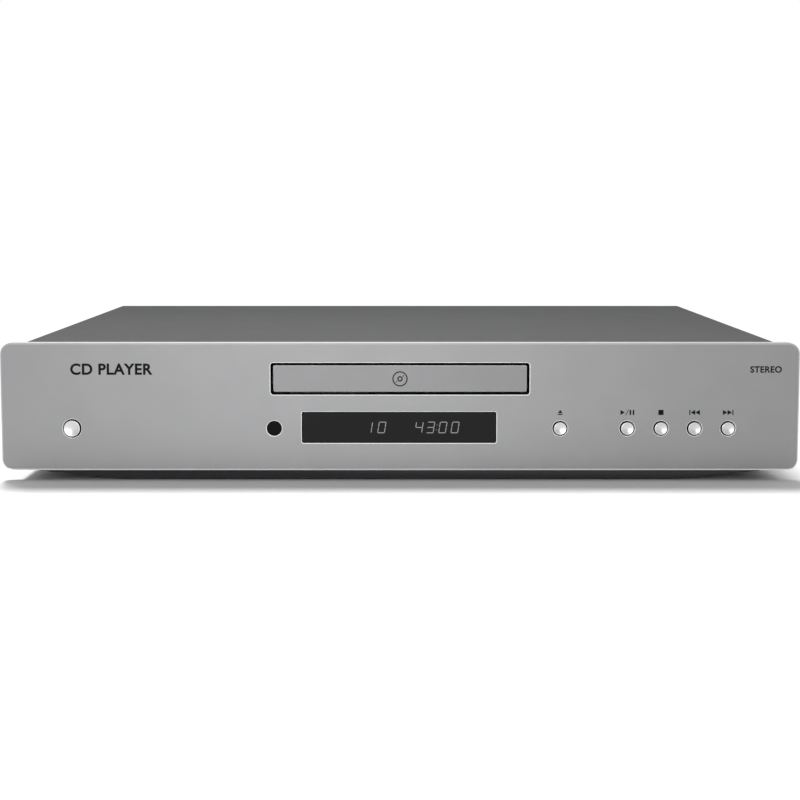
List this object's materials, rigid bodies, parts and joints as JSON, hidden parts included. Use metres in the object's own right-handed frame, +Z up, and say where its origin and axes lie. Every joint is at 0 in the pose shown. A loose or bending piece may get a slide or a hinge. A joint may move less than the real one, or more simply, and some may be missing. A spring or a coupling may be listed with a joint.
{
  "type": "cd player",
  "caption": "Full-width compact disc player with a drawer loader, round push buttons, a display window and rear sockets, opening to its working mechanism.",
  "frame": {"origin": "under the middle of the machine, on the surface its pads rest on", "axes": "+X to the right as seen from the front, the front panel faces -Y, +Z up"},
  "size_m": [0.43, 0.305, 0.075],
  "materials": {
    "anodised": "fine sand-blasted silver anodising with bright machined chamfers",
    "painted_steel": "satin grey powder coat on sheet steel",
    "zinc_steel": "zinc plated sheet steel",
    "plinth_paint": "satin black paint",
    "rubber": "matt black rubber",
    "button_metal": "polished dished cap with a turned rim",
    "smoked_window": "smoked acrylic, polished",
    "display_glass": "dark glass display",
    "circuit_board": "green solder resist",
    "black_plastic": "fine spark-eroded moulding",
    "white_plastic": "natural acetal",
    "sled_metal": "die casting",
    "core_steel": "varnished lamination stack",
    "cable_jacket": "flexible plastic insulation"
  },
  "bodies": {
    "chassis": {"front_panel": "anodised", "top_cover": "painted_steel", "rear_panel": "painted_steel", "front_subframe": "zinc_steel", "base_pan": "zinc_steel", "mech_bracket_left": "zinc_steel", "mech_bracket_right": "zinc_steel", "clamp_bridge": "zinc_steel", "loading_motor": "zinc_steel", "front_plinth": "plinth_paint", "rear_plinth": "plinth_paint", "foot_pad_front_left": "rubber", "foot_pad_front_right": "rubber", "foot_pad_rear_left": "rubber", "foot_pad_rear_right": "rubber", "damper_front_left": "rubber", "damper_front_right": "rubber", "damper_rear_left": "rubber", "damper_rear_right": "rubber", "drive_belt": "rubber", "display_window": "smoked_window", "ir_window": "smoked_window", "display_module": "display_glass", "control_board": "circuit_board", "main_board": "circuit_board", "supply_board": "circuit_board", "loader_frame": "black_plastic", "mains_inlet": "black_plastic", "optical_out": "black_plastic", "coax_jack": "black_plastic", "line_out_jacks": "black_plastic", "transformer": "core_steel", "display_ribbon": "cable_jacket", "pickup_ribbon": "cable_jacket", "mains_lead": "cable_jacket", "secondary_lead": "cable_jacket"},
    "drawer": {"disc_tray": "black_plastic", "tray_door": "anodised"},
    "drive_gear": {"drive_gear": "white_plastic"},
    "pulley_gear": {"pulley_gear": "white_plastic"},
    "motor_pulley": {"motor_pulley": "white_plastic"},
    "cam": {"cam_slider": "white_plastic"},
    "traverse": {"traverse": "black_plastic", "spindle_motor": "zinc_steel", "sled_motor": "zinc_steel", "guide_rod_left": "zinc_steel", "guide_rod_right": "zinc_steel"},
    "turntable": {"turntable": "black_plastic"},
    "clamp": {"clamp_puck": "black_plastic"},
    "sled": {"pickup_sled": "sled_metal", "pickup_lens": "black_plastic"},
    "lead_screw": {"lead_screw": "zinc_steel"},
    "rocker": {"power_rocker": "black_plastic"},
    "shutter": {"optical_shutter": "black_plastic"},
    "standby": {"standby_button": "button_metal"},
    "eject": {"eject_button": "button_metal"},
    "play": {"play_button": "button_metal"},
    "stop": {"stop_button": "button_metal"},
    "previous": {"previous_button": "button_metal"},
    "next": {"next_button": "button_metal"}
  },
  "joints": [
    {"name": "drawer_slide", "type": "slide", "parent": "chassis", "child": "drawer", "axis": [0, -1, 0], "range_m": [0, 0.14]},
    {"name": "drive_gear_spin", "type": "hinge", "parent": "chassis", "child": "drive_gear", "pos_m": [-0.0472, -0.1165, 0.046], "axis": [0, 0, 1], "continuous": true},
    {"name": "pulley_gear_spin", "type": "hinge", "parent": "chassis", "child": "pulley_gear", "pos_m": [-0.02598, -0.1165, 0.046], "axis": [0, 0, 1], "continuous": true},
    {"name": "motor_pulley_spin", "type": "hinge", "parent": "chassis", "child": "motor_pulley", "pos_m": [0.015, -0.1165, 0.046], "axis": [0, 0, 1], "continuous": true},
    {"name": "cam_slide", "type": "slide", "parent": "chassis", "child": "cam", "axis": [1, 0, 0], "range_m": [0, 0.024]},
    {"name": "traverse_tilt", "type": "hinge", "parent": "chassis", "child": "traverse", "pos_m": [0, 0.002, 0.0425], "axis": [1, 0, 0], "range_deg": [0, 6]},
    {"name": "turntable_spin", "type": "hinge", "parent": "traverse", "child": "turntable", "pos_m": [0, -0.078, 0.05], "axis": [0, 0, 1], "continuous": true},
    {"name": "clamp_spin", "type": "hinge", "parent": "chassis", "child": "clamp", "pos_m": [0, -0.078, 0.06], "axis": [0, 0, 1], "continuous": true},
    {"name": "sled_slide", "type": "slide", "parent": "traverse", "child": "sled", "axis": [0, 1, 0], "range_m": [0, 0.034]},
    {"name": "lead_screw_spin", "type": "hinge", "parent": "traverse", "child": "lead_screw", "pos_m": [0.027, -0.04, 0.0435], "axis": [0, 1, 0], "continuous": true},
    {"name": "rocker_tilt", "type": "hinge", "parent": "chassis", "child": "rocker", "pos_m": [-0.137, 0.1404, 0.036], "axis": [1, 0, 0], "range_deg": [-7, 7]},
    {"name": "shutter_swing", "type": "hinge", "parent": "chassis", "child": "shutter", "pos_m": [0.064, 0.1463, 0.04285], "axis": [-1, 0, 0], "range_deg": [0, 75], "stiffness_Nm_per_rad": 0.0004, "springref_deg": -22.92},
    {"name": "standby_press", "type": "slide", "parent": "chassis", "child": "standby", "axis": [0, 1, 0], "range_m": [0, 0.0006], "stiffness_N_per_m": 800, "springref_m": -0.001},
    {"name": "eject_press", "type": "slide", "parent": "chassis", "child": "eject", "axis": [0, 1, 0], "range_m": [0, 0.0006], "stiffness_N_per_m": 800, "springref_m": -0.001},
    {"name": "play_press", "type": "slide", "parent": "chassis", "child": "play", "axis": [0, 1, 0], "range_m": [0, 0.0006], "stiffness_N_per_m": 800, "springref_m": -0.001},
    {"name": "stop_press", "type": "slide", "parent": "chassis", "child": "stop", "axis": [0, 1, 0], "range_m": [0, 0.0006], "stiffness_N_per_m": 800, "springref_m": -0.001},
    {"name": "previous_press", "type": "slide", "parent": "chassis", "child": "previous", "axis": [0, 1, 0], "range_m": [0, 0.0006], "stiffness_N_per_m": 800, "springref_m": -0.001},
    {"name": "next_press", "type": "slide", "parent": "chassis", "child": "next", "axis": [0, 1, 0], "range_m": [0, 0.0006], "stiffness_N_per_m": 800, "springref_m": -0.001}
  ],
  "couplings": [
    {"joint": "drive_gear_spin", "follows": "drawer_slide", "rad_per_m": 111.11},
    {"joint": "pulley_gear_spin", "follows": "drawer_slide", "rad_per_m": -200},
    {"joint": "motor_pulley_spin", "follows": "drawer_slide", "rad_per_m": -400},
    {"joint": "traverse_tilt", "follows": "cam_slide", "rad_per_m": 4.3633},
    {"joint": "clamp_spin", "follows": "turntable_spin", "ratio": 1},
    {"joint": "lead_screw_spin", "follows": "sled_slide", "rad_per_m": 2094.4}
  ]
}
